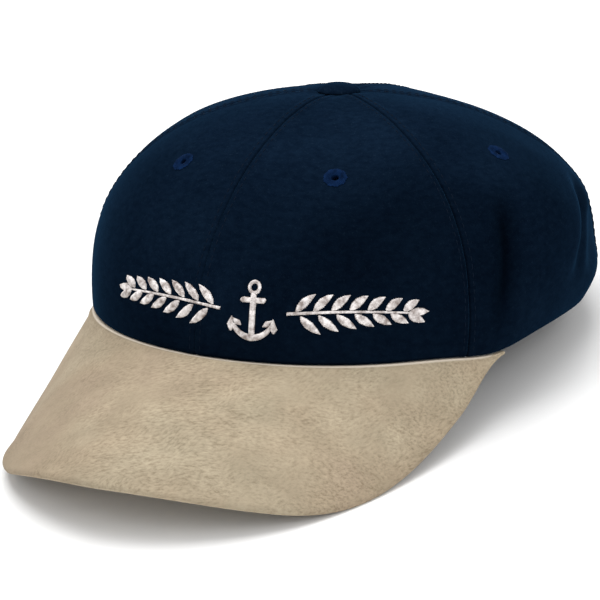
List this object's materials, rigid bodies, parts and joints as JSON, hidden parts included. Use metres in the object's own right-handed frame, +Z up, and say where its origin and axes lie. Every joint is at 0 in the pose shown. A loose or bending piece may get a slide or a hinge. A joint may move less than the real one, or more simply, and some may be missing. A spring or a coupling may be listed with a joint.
{
  "type": "skipper cap",
  "caption": "Soft six-panel cloth cap with a low crown, covered button, sewn eyelets and a stiff rolled suede peak.",
  "frame": {"origin": "on the table that the cap rests on, under the middle of its bounding box", "axes": "+Z up, the peak points to -Y, the wearer's left is +X"},
  "size_m": [0.1814, 0.2676, 0.1023],
  "materials": {
    "navy_twill": "matt brushed cotton twill",
    "tan_suede": "napped suede",
    "eyelet_thread": "satin embroidery thread",
    "motif_thread": "satin embroidery thread"
  },
  "bodies": {
    "root": {"crown_front_left": "navy_twill", "crown_side_left": "navy_twill", "crown_back_left": "navy_twill", "crown_front_right": "navy_twill", "crown_side_right": "navy_twill", "crown_back_right": "navy_twill", "button": "navy_twill", "eyelet_front_left": "eyelet_thread", "eyelet_side_left": "eyelet_thread", "eyelet_back_left": "eyelet_thread", "eyelet_front_right": "eyelet_thread", "eyelet_side_right": "eyelet_thread", "eyelet_back_right": "eyelet_thread", "peak": "tan_suede"}
  },
  "joints": []
}
